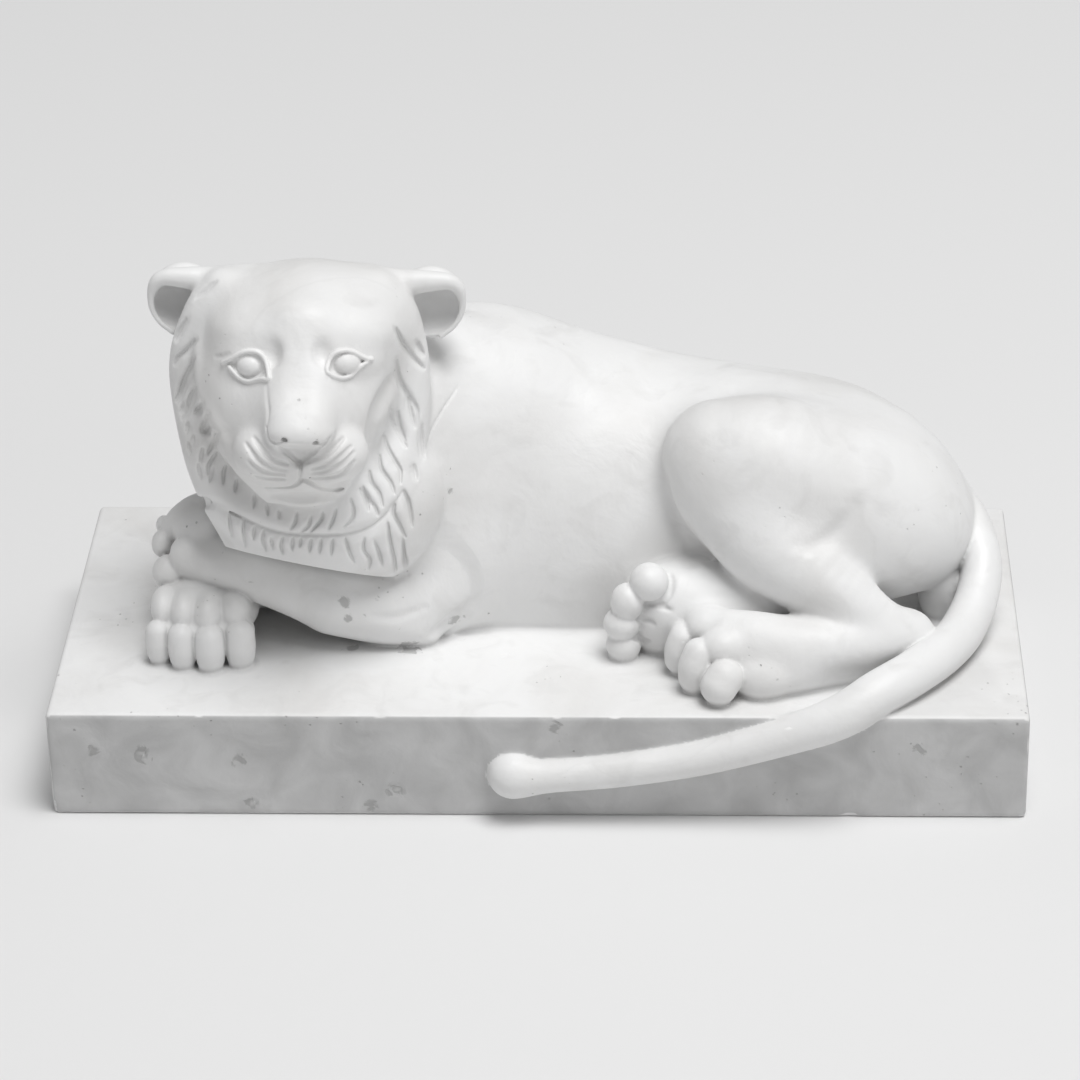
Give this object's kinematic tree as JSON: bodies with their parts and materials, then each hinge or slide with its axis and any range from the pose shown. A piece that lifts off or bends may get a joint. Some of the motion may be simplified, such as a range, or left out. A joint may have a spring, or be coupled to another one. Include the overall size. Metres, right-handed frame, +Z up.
{
  "type": "reclining lion sculpture",
  "caption": "Marble lion lying on a rectangular plinth with crossed forepaws, carved from one block, its tail hanging in relief over the plinth's front face.",
  "frame": {"origin": "centre of the plinth's rectangular underside, on the surface it stands on", "axes": "+X runs along the plinth's front edge from the beast's head towards its rump, +Y points from the front face to the back, +Z is up"},
  "size_m": [0.6, 0.2805, 0.3195],
  "materials": {
    "marble": "white statuary marble, honed by hand and weathered: faint grey veins and clouds, fine pits, small chips, grey dirt in the grooves"
  },
  "bodies": {
    "root": {"lion_on_plinth": "marble"}
  },
  "joints": []
}
